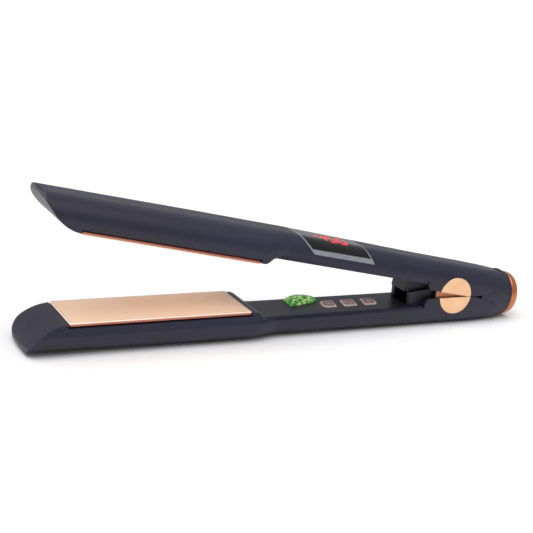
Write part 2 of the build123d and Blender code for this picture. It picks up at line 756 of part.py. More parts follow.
def display_board():
    half = 24.0
    top = DISPLAY_BOARD_TOP
    return block(DISPLAY_MIDDLE_X - half, DISPLAY_MIDDLE_X + half, -10.0, 7.0, top, top + BOARD_THICK)


def display_module():
    """Three-digit LED block on its board, close under the glass."""
    half_x = 12.0
    half_y = 5.5
    face = DISPLAY_BOARD_TOP + BOARD_THICK
    module = block(-half_x, half_x, -half_y, half_y, face, face + DISPLAY_MODULE_HIGH)
    return Pos(DISPLAY_MIDDLE_X, DISPLAY_MODULE_Y, 0) * module


def display_posts():
    """Two legs from the cover's floor that hold the display board."""
    legs = Part()
    reach = 20.0
    for x in (DISPLAY_MIDDLE_X - reach, DISPLAY_MIDDLE_X + reach):
        legs += post(x, 0, UPPER["face"] + WALL / 2, DISPLAY_BOARD_TOP, 2.4)
    return legs


# ---- hinge ----
def upper_bracket():
    """Nylon knuckle block of the upper arm, between the lugs of the lower one."""
    roof = UPPER["hinge"] - WALL
    bottom = -4.0
    side = side_polygon(
        (KNUCKLE_FRONT_X, roof),
        (KNUCKLE_FRONT_X, bottom),
        (-9.0, bottom),
        (-2.0, -KNUCKLE_RADIUS + 0.4),
        (KNUCKLE_RADIUS, 0),
        (KNUCKLE_RADIUS + 1, roof),
    )
    solid = side & block(-SIDE, SIDE, -UPPER_KNUCKLE_HALF, UPPER_KNUCKLE_HALF, -SIDE, SIDE)
    solid += axle(-UPPER_KNUCKLE_HALF, UPPER_KNUCKLE_HALF, KNUCKLE_RADIUS)
    solid -= block(-12, SIDE, -SPRING_HALF - 0.3, SPRING_HALF + 0.3, -SIDE, 11.0)
    solid -= axle(-SIDE, SIDE, PIN_RADIUS + RUNNING_FIT)
    for x, y in bracket_screw_places():
        solid -= post(x, y, -20, BRACKET_SCREW_HEAD_Z, SCREW_HEAD + 0.3)
        solid -= post(x, y, -20, roof + 1, SCREW_CORE)
    return solid


def lower_bracket_roof():
    """Depth of the shell's inside where the lower bracket lies against it."""
    return arm_depth(LOWER, LOWER_BASE_FRONT_X) - WALL


def lower_bracket():
    """Two lugs of the lower arm on one base, either side of the upper arm's block."""
    roof = lower_bracket_roof()
    side = side_polygon((LUG_FRONT_X, roof - 1.6), (LUG_FRONT_X, -1.8), (-10.0, -KNUCKLE_RADIUS + 3.0),
                        (-3.0, -KNUCKLE_RADIUS + 1.0), (KNUCKLE_RADIUS, 0), (KNUCKLE_RADIUS + 1, roof - 1.6))
    lugs = Part()
    for sign in (-1, 1):
        y0, y1 = sorted((sign * LOWER_LUG[0], sign * LOWER_LUG[1]))
        lug = side & block(-SIDE, SIDE, y0, y1, -SIDE, SIDE)
        lugs += lug + axle(y0, y1, KNUCKLE_RADIUS)
    base_half = LOWER_LUG[0] + 0.1
    base = block(LOWER_BASE_FRONT_X, KNUCKLE_RADIUS + 1, -base_half, base_half, roof - LOWER_BASE_THICK, roof)
    solid = lugs + base
    solid -= axle(-SIDE, SIDE, PIN_RADIUS)
    for x, y in bracket_screw_places():
        solid -= post(x, y, -20, roof + 1, SCREW_CORE)
    return solid


def bracket_screws(arm, head_z):
    screws = Part()
    for x, y in bracket_screw_places():
        screws += post(x, y, head_z - SCREW_HEAD_HIGH, head_z, SCREW_HEAD)
        screws += post(x, y, head_z, arm["hinge"] - WALL / 2 - 0.2, SCREW_CORE)
    return screws


def half_moon_cap(side):
    """Rose-gold trim cap of one arm, flush with the cheek's slit."""
    if side > 0:
        disc = axle(CAP_SEAT, CHEEK_HALF, CAP_RADIUS - 0.05)
        disc = chamfer(disc.faces().sort_by(Axis.Y)[-1].edges(), 0.25)
    else:
        disc = axle(-CHEEK_HALF, -CAP_SEAT, CAP_RADIUS - 0.05)
        disc = chamfer(disc.faces().sort_by(Axis.Y)[0].edges(), 0.25)
    return disc - open_side()


def hinge_pin():
    return axle(-HUB_LUG_INNER - 1.8, HUB_LUG_INNER + 1.8, PIN_RADIUS)


def thrust_washers():
    """Thin washers on the pin between the lower lugs and the hub's lugs."""
    washers = Part()
    for sign in (-1, 1):
        y0, y1 = sorted((sign * (LOWER_LUG[1] + 0.1), sign * (HUB_LUG_INNER - 0.1)))
        washers += axle(y0, y1, 5.0) - axle(-SIDE, SIDE, PIN_RADIUS)
    return washers


def torsion_spring():
    """Coil round the pin that pushes the arms open, with a leg towards each arm."""
    wire = 0.6
    turns = 4
    fixed_leg = lower_bracket_roof() - LOWER_BASE_THICK
    pushing_leg = 9.5
    coil = Part()
    pitch = (2 * SPRING_HALF - 2 * wire) / (turns - 1)
    for i in range(turns):
        ring = Rot(90, 0, 0) * Torus(SPRING_RADIUS, wire)
        coil += Pos(0, -SPRING_HALF + wire + i * pitch, 0) * ring
    for i in range(turns - 1):
        y = -SPRING_HALF + wire + i * pitch
        coil += axle(y, y + pitch, wire * 0.9, x=SPRING_RADIUS)
    end_y = SPRING_HALF - wire
    coil += post(-SPRING_RADIUS, -end_y, 0, fixed_leg, wire)
    coil += post(-SPRING_RADIUS, end_y, -pushing_leg, 0, wire)
    return coil


def dropped(piece):
    """Moves a round piece from the halving line to the axis of the rear barrel."""
    return Pos(0, 0, -HUB_DROP) * piece


def hub():
    """Rear barrel between the two arms, with lugs to the pin, flush side pads and the rear rim."""
    body = dropped(barrel(HUB_FRONT_X, RIM_X, BARREL_RADIUS))
    rim = dropped(barrel(RIM_X - RIM_THICK, RIM_X, RIM_RADIUS))
    body += chamfer(rim.edges().sort_by(Axis.X)[0:1], 0.6)
    curve = rear_curve()
    start = curve @ 0
    end = curve @ 1
    mouth = side_shape([
        curve,
        Line((end.X, end.Y), (end.X, -end.Y)),
        mirror(curve, Plane.XZ),
        Line((start.X, -start.Y), (start.X, start.Y)),
    ])
    lens = Pos(PAD_CLEAR * 2, 0, 0) * mouth
    flank = loft([
        Plane(origin=(CHEEK_REAR_X, 0, 0), x_dir=(0, 1, 0), z_dir=(1, 0, 0)) * Ellipse(CHEEK_HALF - 0.3, 22.0),
        Plane(origin=(WAIST_X, 0, 0), x_dir=(0, 1, 0), z_dir=(1, 0, 0)) * Ellipse(WAIST_HALF - 0.2, 18.0),
        Plane(origin=(RIM_X, 0, -HUB_DROP), x_dir=(0, 1, 0), z_dir=(1, 0, 0)) * Circle(RIM_RADIUS),
    ], ruled=True)
    body += lens & flank & block(HUB_FRONT_X + 4, RIM_X - 0.5, -SIDE, SIDE, -SIDE, SIDE)
    for sign in (-1, 1):
        y0, y1 = sorted((sign * HUB_LUG_INNER, sign * DISC_IN))
        body += axle(y0, y1, DISC_RADIUS)
        body += block(0, HUB_FRONT_X + 2, y0, y1, -HUB_WEB_HALF, HUB_WEB_HALF)
    body -= dropped(barrel(HUB_FRONT_X - 1, RIM_X - HUB_BACK_THICK, BARREL_BORE))
    body -= dropped(barrel(HUB_FRONT_X - 1, SIDE, SWIVEL_NECK + 0.1))
    body -= axle(-SIDE, SIDE, PIN_RADIUS + RUNNING_FIT)
    inner_disc = axle(-HUB_LUG_INNER, HUB_LUG_INNER, DISC_RADIUS + 0.6)
    return body - (inner_disc & block(-SIDE, HUB_FRONT_X, -SIDE, SIDE, -SIDE, SIDE))


def hub_disc(side):
    y0, y1 = sorted((side * DISC_IN, side * DISC_OUT))
    return axle(y0, y1, DISC_RADIUS)


def rear_ring():
    """Copper ring on the rear rim: a rounded, slightly tapering band."""
    x1 = RIM_X + RING_LENGTH
    profile = make_face([
        Line((RIM_X, RING_BORE), (RIM_X, RIM_RADIUS - 0.3)),
        Line((RIM_X, RIM_RADIUS - 0.3), (RIM_X + 0.8, RIM_RADIUS - 0.1)),
        Bezier((RIM_X + 0.8, RIM_RADIUS - 0.1), (x1 - 1.2, RIM_RADIUS - 0.3), (x1, RING_REAR_RADIUS + 0.2),
               (x1, RING_REAR_RADIUS - 1.0)),
        Line((x1, RING_REAR_RADIUS - 1.0), (x1 - 0.6, RING_REAR_RADIUS - 2.2)),
        Line((x1 - 0.6, RING_REAR_RADIUS - 2.2), (x1 - 0.6, RING_BORE)),
        Line((x1 - 0.6, RING_BORE), (RIM_X, RING_BORE)),
    ])
    return revolve(profile, Axis.X)


def cord_swivel():
    """Turning sleeve that the cord comes out of, held behind the hub's rear wall by its collar."""
    inner_x = RIM_X - HUB_BACK_THICK
    body = barrel(inner_x - 1.7, RIM_X + RING_LENGTH, SWIVEL_NECK)
    body += barrel(inner_x - 1.7, inner_x - 0.1, SWIVEL_COLLAR)
    body = chamfer(body.edges().sort_by(Axis.X)[-1:], 1.2)
    return body - barrel(0, SIDE, CORD_BORE)


# ---- where each piece goes in the object ----
PIVOT_Z = LOWER["hinge"]


def in_lower(piece):
    return Pos(0, 0, PIVOT_Z) * Rot(180, 0, 0) * piece


def in_upper(piece):
    return Pos(0, 0, PIVOT_Z) * Rot(0, OPEN_ANGLE, 0) * piece


def on_hub(piece):
    return Pos(0, 0, PIVOT_Z) * Rot(0, HALF_OPEN, 0) * piece


def floating_pieces(arm_name, placed):
    return {
        arm_name + "_plate": placed(plate()),
        arm_name + "_heater": placed(heater()),
        arm_name + "_mica_sheet": placed(mica_sheet()),
        arm_name + "_plate_carrier": placed(carrier()),
        arm_name + "_carrier_screws": placed(carrier_screws()),
        arm_name + "_cushions": placed(cushions()),
        arm_name + "_thermal_fuse": placed(thermal_fuse()),
        arm_name + "_thermistor": placed(thermistor()),
    }


def lower_arm_pieces():
    shell, cover = housing(LOWER)
    shell += board_posts(LOWER)
    for kind, x in button_places().items():
        hole = extrude(button_outline(kind, BUTTON_CLEAR), amount=WALL + 2)
        cover -= Pos(x, 0, LOWER["face"] - 1) * hole
    cover -= lens_hole()
    lug_half = LOWER_LUG[1] + 0.4
    cover -= block(LUG_FRONT_X - 0.4, CHEEK_X + 9, -lug_half, lug_half, -5, 20)
    pieces = {
        "lower_outer_shell": shell,
        "lower_inner_cover": cover,
        "lower_cover_screws": cover_screws(),
        "lower_cushion_tray": cushion_tray(LOWER),
        "lower_hinge_bracket": lower_bracket(),
        "lower_bracket_screws": bracket_screws(LOWER, lower_bracket_roof() - LOWER_BASE_THICK),
        "control_board": control_board(),
        "button_switches": button_switches(),
        "status_lens": status_lens(),
        "status_led": status_led(),
        "triac": triac(),
        "filter_capacitor": filter_capacitor(),
        "hinge_pin": hinge_pin(),
        "thrust_washers": thrust_washers(),
        "torsion_spring": torsion_spring(),
        "lower_cap_front": half_moon_cap(1),
        "lower_cap_back": half_moon_cap(-1),
    }
    for kind, x in button_places().items():
        pieces[kind + "_button"] = button_solid(kind, x)
    placed = {name: in_lower(piece) for name, piece in pieces.items()}
    placed.update(floating_pieces("lower", in_lower))
    return placed


def upper_arm_pieces():
    shell, cover = housing(UPPER)
    knuckle_half = UPPER_KNUCKLE_HALF + 0.4
    cover -= block(KNUCKLE_FRONT_X - 0.4, CHEEK_X + 9, -knuckle_half, knuckle_half, -5, 20)
    cover += display_posts()
    shell, frame, glass = display_pieces(shell)
    pieces = {
        "upper_outer_shell": shell,
        "upper_inner_cover": cover,
        "upper_cover_screws": cover_screws(),
        "upper_cushion_tray": cushion_tray(UPPER),
        "upper_hinge_bracket": upper_bracket(),
        "upper_bracket_screws": bracket_screws(UPPER, BRACKET_SCREW_HEAD_Z),
        "display_frame": frame,
        "display_glass": glass,
        "display_module": display_module(),
        "display_board": display_board(),
        "upper_cap_front": half_moon_cap(-1),
        "upper_cap_back": half_moon_cap(1),
    }
    placed = {name: in_upper(piece) for name, piece in pieces.items()}
    placed.update(floating_pieces("upper", in_upper))
    return placed


def hub_pieces():
    pieces = {
        "hub_barrel": hub(),
        "hub_disc_front": hub_disc(-1),
        "hub_disc_back": hub_disc(1),
        "rear_ring": dropped(rear_ring()),
        "cord_swivel": dropped(cord_swivel()),
    }
    return {name: on_hub(piece) for name, piece in pieces.items()}


def main():
    os.makedirs("parts", exist_ok=True)
    pieces = {}
    pieces.update(lower_arm_pieces())
    pieces.update(upper_arm_pieces())
    pieces.update(hub_pieces())
    for name, piece in pieces.items():
        export_step(piece, os.path.join("parts", name + ".step"))


main()
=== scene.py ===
import math
import bpy
import numpy as np
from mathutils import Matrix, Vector


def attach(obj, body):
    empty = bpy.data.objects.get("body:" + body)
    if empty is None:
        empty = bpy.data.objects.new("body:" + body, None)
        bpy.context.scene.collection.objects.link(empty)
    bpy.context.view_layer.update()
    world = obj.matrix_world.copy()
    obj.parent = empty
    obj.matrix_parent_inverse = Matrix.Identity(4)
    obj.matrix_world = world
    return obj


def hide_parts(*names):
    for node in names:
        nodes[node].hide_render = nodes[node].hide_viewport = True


# Hair straightener: two sprung arms on one pin, copper-coloured plates, keys, a wrap-over display and a
# rear ring.  Lengths are metres in the frame's own axes: +X to the cord outlet, +Y to the back, +Z up.
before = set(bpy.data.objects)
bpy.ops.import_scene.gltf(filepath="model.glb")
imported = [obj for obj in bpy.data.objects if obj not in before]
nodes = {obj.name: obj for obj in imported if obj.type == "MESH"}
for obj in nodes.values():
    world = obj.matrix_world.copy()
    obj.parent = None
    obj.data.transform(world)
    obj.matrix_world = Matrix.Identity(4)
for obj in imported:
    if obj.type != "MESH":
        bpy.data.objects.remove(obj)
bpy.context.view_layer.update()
MM = 0.001


# ---- soft-touch housings ------------------------------------------------------------------------------
# The shells and inner covers are moulded ABS, sprayed with a dark blue-grey soft-touch lacquer.  The
# lacquer is satin and very finely pebbled, and it lightens a little where it is handled.
def linear(code):
    """sRGB hex to linear RGBA."""
    values = [int(code[i:i + 2], 16) / 255 for i in (1, 3, 5)]
    return [v / 12.92 if v <= 0.04045 else ((v + 0.055) / 1.055) ** 2.4 for v in values] + [1.0]


def add(material, kind, inputs=None, stops=(), **settings):
    """Adds a node; inputs maps a socket to a value or to another node's output, stops fills a ramp."""
    node = material.node_tree.nodes.new(kind)
    for key, value in settings.items():
        setattr(node, key, value)
    for key, value in (inputs or {}).items():
        if isinstance(value, bpy.types.NodeSocket):
            material.node_tree.links.new(value, node.inputs[key])
        else:
            node.inputs[key].default_value = value
    if stops:
        elements = node.color_ramp.elements
        while len(elements) < len(stops):
            elements.new(0.5)
        for element, (position, code) in zip(elements, stops):
            element.position = position
            element.color = linear(code)
    return node


def new_material(name, **surface):
    """Material with a Principled shader; surface gives plain values for the shader's sockets."""
    material = bpy.data.materials.new(name)
    material.use_nodes = True
    shader = material.node_tree.nodes["Principled BSDF"]
    for key, value in surface.items():
        shader.inputs[key.replace("_", " ")].default_value = value
    return material, shader


def wire(material, output, shader, socket):
    material.node_tree.links.new(output, shader.inputs[socket])


def patches(material, size_mm, detail, rough=0.5):
    """Soft 0 to 1 patches of about size_mm, fixed to the piece."""
    place = add(material, "ShaderNodeTexCoord").outputs["Object"]
    scale = 1 / (size_mm * MM)
    inputs = {"Vector": place, "Scale": scale, "Detail": detail, "Roughness": rough}
    return add(material, "ShaderNodeTexNoise", inputs).outputs["Fac"]


def tint(material, shader, pattern, stops, sockets=("Base Color",)):
    """Colours the surface by a 0 to 1 pattern."""
    colour = add(material, "ShaderNodeValToRGB", {"Fac": pattern}, stops=stops).outputs["Color"]
    for socket in sockets:
        wire(material, colour, shader, socket)


def gloss(material, shader, pattern, low, high):
    """Roughness that runs from low to high with a 0 to 1 pattern."""
    inputs = {"Value": pattern, "To Min": low, "To Max": high}
    wire(material, add(material, "ShaderNodeMapRange", inputs).outputs["Result"], shader, "Roughness")


def relief(material, shader, pattern, depth_mm):
    """Raises the surface by depth_mm with a 0 to 1 pattern."""
    inputs = {"Height": pattern, "Distance": depth_mm * MM, "Strength": 1.0}
    wire(material, add(material, "ShaderNodeBump", inputs).outputs["Normal"], shader, "Normal")


def two_tone(low, high):
    """Stops of a quiet drift between two close colours."""
    return [(0.3, low), (0.7, high)]


def soft_touch_lacquer():
    material, shader = new_material("soft_touch_lacquer_on_abs", IOR=1.5)
    shader.inputs["Specular IOR Level"].default_value = 0.4
    shader.inputs["Sheen Weight"].default_value = 0.02
    shader.inputs["Sheen Roughness"].default_value = 0.4
    shader.inputs["Sheen Tint"].default_value = linear("#c9c8de")
    tint(material, shader, patches(material, 60.0, 3.0), two_tone("#1d1b2d", "#232135"))
    gloss(material, shader, patches(material, 8.0, 4.0), 0.38, 0.48)
    pebble = patches(material, 0.35, 2.0, 0.6)                     # 0.1 mm in truth, drawn coarser to show
    relief(material, shader, pebble, 0.012)
    return material


def paint(name, material):
    """Gives a frame node this material in every slot."""
    mesh = nodes[name].data
    if not mesh.materials:
        mesh.materials.append(material)
    for i in range(len(mesh.materials)):
        mesh.materials[i] = material


lacquer = soft_touch_lacquer()
for arm in ("lower", "upper"):
    paint(arm + "_outer_shell", lacquer)
    paint(arm + "_inner_cover", lacquer)
paint("hub_barrel", lacquer)


# ---- how each arm lies --------------------------------------------------------------------------------
# Each arm is measured in its own frame: x along the arm from the hinge pin, y across, depth away from the
# parting plane.  The lower arm lies with its outer face down; the upper one is swung up about the pin.
PIN_HEIGHT = 18.6
OPENING = math.radians(11.3)


def place_lower(points):
    """Arm frame in mm to the frame's metres: y and depth are both turned over."""
    return np.stack([points[..., 0], -points[..., 1], PIN_HEIGHT - points[..., 2]], -1) * MM


def place_upper(points):
    """Arm frame in mm to metres: a turn by the opening angle about the pin."""
    x, y, depth = points[..., 0], points[..., 1], points[..., 2]
    along = x * math.cos(OPENING) + depth * math.sin(OPENING)
    up = depth * math.cos(OPENING) - x * math.sin(OPENING) + PIN_HEIGHT
    return np.stack([along, y, up], -1) * MM


def make_piece(name, points, faces, body, materials, zones=None, smooth=True):
    """Mesh object from points in metres and faces, riding on a body."""
    mesh = bpy.data.meshes.new(name)
    mesh.from_pydata(points.reshape(-1, 3).tolist(), [], [list(map(int, face)) for face in faces])
    for material in materials:
        mesh.materials.append(material)
    if zones is not None:
        mesh.polygons.foreach_set("material_index", np.asarray(zones, dtype=np.int32))
    mesh.polygons.foreach_set("use_smooth", np.full(len(faces), smooth))
    mesh.update()
    piece = bpy.data.objects.new(name, mesh)
    bpy.context.collection.objects.link(piece)
    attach(piece, body)
    return piece


def ring_faces(rings, count):
    """Quads between neighbouring closed rings of count points each."""
    i = np.arange(rings - 1)[:, None] * count
    j = np.arange(count)[None, :]
    k = (j + 1) % count
    return np.stack([i + j, i + k, i + count + k, i + count + j], -1).reshape(-1, 4)


# ---- heated plates ------------------------------------------------------------------------------------
# Each plate is an extruded aluminium slab with a peach titanium-ceramic coating.  Its rounded long edges are
# painted near-white as a highlight; its sides and a thin line inside the edge are painted darker copper as
# shade.
PLATE_X = (-236.8, -134.0)
PLATE_HALF = 19.05
PLATE_FACE = 0.15
PLATE_BACK = 1.95


def drawn_lines(material, scale):
    """Fine lines: a pattern stretched along one direction; scale is repeats to a metre along each axis."""
    place = add(material, "ShaderNodeTexCoord").outputs["Object"]
    streak = add(material, "ShaderNodeMapping", {"Vector": place, "Scale": scale}).outputs["Vector"]
    return add(material, "ShaderNodeTexNoise", {"Vector": streak, "Scale": 1.0, "Detail": 2.0}).outputs["Fac"]


def coating(name, low, high, metallic, rough):
    """Fired coating over drawn aluminium: a warm satin sheen with lines 0.4 mm apart along the plate."""
    material, shader = new_material(name, Metallic=metallic)
    tint(material, shader, patches(material, 40.0, 2.0), two_tone(low, high))
    lines = drawn_lines(material, (40.0, 2600.0, 900.0))
    gloss(material, shader, lines, rough - 0.05, rough + 0.06)
    relief(material, shader, lines, 0.004)
    return material


plate_face = coating("titanium_ceramic_on_aluminium", "#fad4b2", "#fddcbd", 0.1, 0.33)
# The bevel's near-white cream is a painted highlight and the side's darker copper is painted shade.
plate_bevel_painted_highlight = coating("coating_bevel_painted_highlight", "#fdecd2", "#fff4e2", 0.05, 0.25)
plate_side_painted_shade = coating("coating_side_painted_shade", "#b9705a", "#c77f68", 0.3, 0.34)


def plate_rings():
    """Rounded-corner rectangles: up the side, round the bevel as a quarter circle, then flat to the middle."""
    bevel = 0.55
    quarter = np.linspace(0, np.pi / 2, 6)
    # Out to the first inset the face keeps the painted highlight; out to the second lies the painted shade
    # line.
    painted_highlight_inset, line, flat = 0.75, 1.05, 4.0
    side_middle = 1.2
    inset = np.concatenate([[0.0, 0.0], bevel * (1 - np.cos(quarter)), [painted_highlight_inset, line, flat]])
    round_edge = PLATE_FACE + bevel * (1 - np.sin(quarter))
    depth = np.concatenate([[PLATE_BACK, side_middle], round_edge, np.full(3, PLATE_FACE)])
    corner = 0.9
    turn = np.linspace(0, np.pi / 2, 5)
    angles = np.concatenate([turn + q * np.pi / 2 for q in range(4)])
    sign_x = np.repeat([1, -1, -1, 1], 5)
    sign_y = np.repeat([1, 1, -1, -1], 5)
    middle = sum(PLATE_X) / 2
    half_x = (PLATE_X[1] - PLATE_X[0]) / 2 - inset[:, None]
    half_y = PLATE_HALF - inset[:, None]
    x = middle + sign_x * (half_x - corner) + corner * np.cos(angles)
    y = sign_y * (half_y - corner) + corner * np.sin(angles)
    return np.stack([x, y, np.broadcast_to(depth[:, None], x.shape)], -1)


def plate_piece(arm, place):
    """Bands of the plate, from the back up: side, bevel, dark line and face; the bevel is painted highlight,
    the side and the dark line painted shade.
    """
    face, bevel, side = 0, 1, 2
    rings = plate_rings()
    count = rings.shape[1]
    last = (len(rings) - 1) * count + np.arange(count)
    first = np.arange(count)[::-1]
    faces = ring_faces(len(rings), count).tolist() + [last.tolist(), first.tolist()]
    bands = [side] * 2 + [bevel] * 6 + [side, face]
    zones = np.repeat(bands, count).tolist() + [face, side]
    coats = [plate_face, plate_bevel_painted_highlight, plate_side_painted_shade]
    piece = make_piece(arm + "_heated_plate", place(rings), faces, arm + "_plate_unit",
                       coats, zones)
    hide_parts(arm + "_plate")


plate_piece("lower", place_lower)
plate_piece("upper", place_upper)


# ---- hinge trim ---------------------------------------------------------------------------------------
# Half-moon caps on the cheeks and the thin discs seen through the slit are pressed from aluminium sheet
# and anodised rose gold, with a fine turned finish round their centre.
def anodised(name, low, high):
    """Anodised sheet, satin, with turning marks 0.7 mm apart round the pin."""
    material, shader = new_material(name, Metallic=0.45)
    tint(material, shader, patches(material, 9.0, 2.0), two_tone(low, high))
    place = add(material, "ShaderNodeTexCoord").outputs["Object"]
    to_pin = (0, 0, -PIN_HEIGHT * MM)
    centred = add(material, "ShaderNodeMapping", {"Vector": place, "Location": to_pin}).outputs["Vector"]
    marks = {"Vector": centred, "Scale": 420.0, "Distortion": 1.5, "Detail": 2.0}
    turned = add(material, "ShaderNodeTexWave", marks, wave_type="RINGS", rings_direction="Y").outputs["Fac"]
    gloss(material, shader, turned, 0.30, 0.40)
    relief(material, shader, turned, 0.006)
    return material


cap_metal = anodised("anodised_aluminium_rose", "#f2bd90", "#f8cba2")
# The discs are the caps' rose gold; their darker copper is painted shade of the recess they sit in.
disc_metal_painted_shade = anodised("anodised_rose_painted_shade", "#b9764f", "#c98a62")
for name in ("lower_cap_front", "lower_cap_back", "upper_cap_front", "upper_cap_back"):
    paint(name, cap_metal)
for name in ("hub_disc_front", "hub_disc_back"):
    paint(name, disc_metal_painted_shade)


# ---- rear ring ----------------------------------------------------------------------------------------
# Spun copper-coloured band round the cord outlet, lacquered and glossy, with fine marks round its girth.
def lacquered_copper():
    """Clear-lacquered spun band: a deep glossy copper with marks 0.5 mm apart round it."""
    material, shader = new_material("lacquered_spun_copper", Metallic=0.75)
    shader.inputs["Coat Weight"].default_value = 0.4
    shader.inputs["Coat Roughness"].default_value = 0.1
    marks = drawn_lines(material, (2200.0, 60.0, 60.0))
    tint(material, shader, marks, two_tone("#b8622f", "#cd7a40"))
    gloss(material, shader, marks, 0.2, 0.32)
    return material


paint("rear_ring", lacquered_copper())


# ---- display ------------------------------------------------------------------------------------------
# A smoked acrylic window is wrapped over the upper arm in a satin chrome frame.  Red seven-segment digits
# glow through its top; they are drawn as thin bars that follow the window's curve.
def smoked_acrylic():
    """Moulded window, almost black and glossy."""
    material, shader = new_material("smoked_acrylic", IOR=1.49)
    tint(material, shader, patches(material, 25.0, 2.0), two_tone("#060607", "#0b0b0d"))
    gloss(material, shader, patches(material, 3.0, 3.0), 0.10, 0.18)
    return material


def satin_chrome():
    """Plated and brushed plastic: a grey silver band with lines 0.4 mm apart along it."""
    material, shader = new_material("satin_chrome_on_abs", Metallic=0.85)
    lines = drawn_lines(material, (90.0, 2500.0, 2500.0))
    tint(material, shader, lines, two_tone("#9a9aa4", "#b9b9c2"))
    gloss(material, shader, lines, 0.26, 0.4)
    return material


paint("display_glass", smoked_acrylic())
paint("display_frame", satin_chrome())


def glowing_red():
    """Lit segment, even and soft."""
    material, shader = new_material("red_led_segment", Roughness=0.4)
    stops = [(0.35, "#c01a20"), (0.65, "#e22a2c")]
    tint(material, shader, patches(material, 1.2, 1.0), stops, ("Base Color", "Emission Color"))
    shader.inputs["Emission Strength"].default_value = 0.75
    return material


# Handle at two stations along the upper arm: depth of its top, half width at the belt, half width of its flat.
FRONT_STATION = {"x": -115.0, "top": 18.3, "belt": 17.2, "crown": 7.0}
REAR_STATION = {"x": -21.0, "top": 17.3, "belt": 16.0, "crown": 5.5}
BELT_DEPTH = 7.0


def upper_outside(x, y):
    """Depth of the upper arm's outside: flat to the crown's edge, then a quarter of an ellipse to the belt."""
    along = (x - FRONT_STATION["x"]) / (REAR_STATION["x"] - FRONT_STATION["x"])
    top, belt, crown = (FRONT_STATION[key] + (REAR_STATION[key] - FRONT_STATION[key]) * along
                        for key in ("top", "belt", "crown"))
    part = np.clip((np.abs(y) - crown) / (belt - crown), 0, 1)
    return BELT_DEPTH + (top - BELT_DEPTH) * np.sqrt(1 - part ** 2)


def segment_bars(digit, start_x):
    """Corner points of the lit bars of one digit: x along the arm, y up the digit, slightly slanted."""
    wide, tall, thick = 4.6, 10.6, 1.5
    gap = 0.35
    slant = 0.12
    half = tall / 2
    lit = {"4": "bcfg", "5": "acdfg", "0": "abcdef"}[digit]
    spots = {
        "a": (0, tall, wide, 0), "g": (0, half, wide, 0), "d": (0, 0, wide, 0),
        "f": (0, half, 0, half), "b": (wide, half, 0, half), "e": (0, 0, 0, half), "c": (wide, 0, 0, half),
    }
    bars = []
    for key in lit:
        x, y, dx, dy = spots[key]
        if dx:
            x0, x1, y0, y1 = x + gap, x + dx - gap, y - thick / 2, y + thick / 2
        else:
            x0, x1, y0, y1 = x - thick / 2, x + thick / 2, y + gap, y + dy - gap
        corners = [(x0, y0), (x1, y0), (x1, y1), (x0, y1)]
        bars.append([(start_x + px + slant * py, py) for px, py in corners])
    return bars


def reading(name):
    """Bars of the three digits, each a grid laid a hair over the window and as far under it."""
    lift = 0.04
    side = 7                                     # grid points along each side of a bar
    first_x, pitch = -96.4, 6.9
    foot_y = -9.2
    bars = sum((segment_bars(digit, first_x + pitch * i) for i, digit in enumerate("450")), [])
    u, v = np.meshgrid(np.linspace(0, 1, side), np.linspace(0, 1, side), indexing="ij")
    weights = [(1 - u) * (1 - v), u * (1 - v), u * v, (1 - u) * v]
    under_step = side * side
    corner = (np.arange(side - 1)[:, None] * side + np.arange(side - 1)).ravel()
    tops = np.stack([corner, corner + side, corner + side + 1, corner + 1], -1)
    unders = np.stack([corner, corner + 1, corner + side + 1, corner + side], -1) + under_step
    grid = np.arange(under_step).reshape(side, side)
    rim = np.concatenate([grid[:, 0], grid[-1, 1:], grid[-2::-1, -1], grid[0, -2:0:-1]])
    ahead = np.roll(rim, -1)
    walls = np.stack([ahead, ahead + under_step, rim + under_step, rim], -1)
    shell = np.concatenate([tops, unders, walls])
    points, faces = [], []
    for bar in bars:
        x, y = (sum(weight * c[axis] for weight, c in zip(weights, bar)) for axis in (0, 1))
        y = y + foot_y
        top = np.stack([x, y, upper_outside(x, y) + lift], -1).reshape(-1, 3)
        faces += (shell + len(points)).tolist()
        points += top.tolist() + (top - [0, 0, 2 * lift]).tolist()
    make_piece(name, place_upper(np.array(points)), faces, "upper_arm", [glowing_red()],
               smooth=False)


reading("display_digits")


# ---- status lens --------------------------------------------------------------------------------------
# Cut green polycarbonate lens, arrow-shaped in plan, with triangular facets in rows up to a small table.
# Its facets get random tones from deep green to pale yellow; the pale ones are painted glints.
def cut_polycarbonate():
    """Clear green plastic lit from below: each facet cell gets a random tone from deep green to pale yellow,
    the pale ones painted glints, also fed to a faint glow.
    """
    material, shader = new_material("cut_green_polycarbonate_painted_glints", IOR=1.58)
    place = add(material, "ShaderNodeTexCoord").outputs["Object"]
    facet_mm = 1.3
    facets = {"Vector": place, "Scale": 1 / (facet_mm * MM)}
    glint_cells = add(material, "ShaderNodeTexVoronoi", facets).outputs["Color"]
    value = add(material, "ShaderNodeSeparateColor", {"Color": glint_cells}).outputs["Red"]
    # The pale yellow stops are painted glints, and they feed the glow as well.
    stops = [(0.0, "#2a8a26"), (0.35, "#46b53a"), (0.62, "#86d85c"), (0.85, "#eefabc")]
    tint(material, shader, value, stops, ("Base Color", "Emission Color"))
    shader.inputs["Emission Strength"].default_value = 0.18
    gloss(material, shader, value, 0.06, 0.2)
    return material


